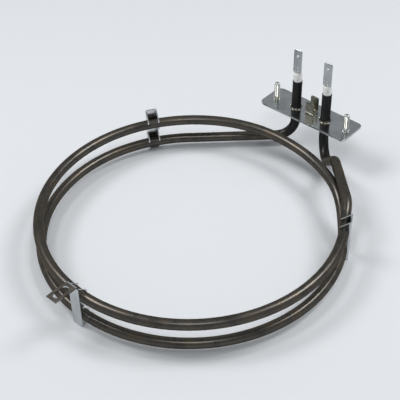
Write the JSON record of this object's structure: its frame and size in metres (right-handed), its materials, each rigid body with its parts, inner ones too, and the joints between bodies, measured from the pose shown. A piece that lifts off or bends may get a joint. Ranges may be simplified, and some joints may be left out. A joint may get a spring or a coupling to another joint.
{
  "type": "tubular heating element",
  "caption": "Ring-shaped two-turn tubular heating element with a studded fixing plate, push-on terminal tabs and sheet support brackets.",
  "frame": {"origin": "on the plate's top face, half-way between the two studs", "axes": "+X along the plate from the left stud to the right one, +Y away from the ring, +Z along the studs and terminals, away from the ring"},
  "size_m": [0.1944, 0.2447, 0.0765],
  "materials": {
    "oxidised_sheath": "heat-oxidised steel, dull with a soft sheen",
    "bright_sheet": "bright rolled sheet steel",
    "plated_stud": "zinc-plated steel",
    "braze": "braze alloy, satin",
    "ceramic": "unglazed white ceramic",
    "seal_resin": "cured resin, matt",
    "magnesia": "compacted powder",
    "resistance_wire": "drawn resistance wire, satin",
    "terminal_steel": "nickel-plated steel"
  },
  "bodies": {
    "root": {"sheath_tube": "oxidised_sheath", "magnesia_filling": "magnesia", "resistance_coil": "resistance_wire", "mounting_plate": "bright_sheet", "earth_tab": "bright_sheet", "support_bracket_front": "bright_sheet", "support_bracket_back": "bright_sheet", "support_bracket_right": "bright_sheet", "cold_pin_left": "terminal_steel", "end_seal_left": "seal_resin", "end_bead_left": "ceramic", "terminal_tab_left": "terminal_steel", "braze_ring_left": "braze", "stud_left": "plated_stud", "cold_pin_right": "terminal_steel", "end_seal_right": "seal_resin", "end_bead_right": "ceramic", "terminal_tab_right": "terminal_steel", "braze_ring_right": "braze", "stud_right": "plated_stud"}
  },
  "joints": []
}
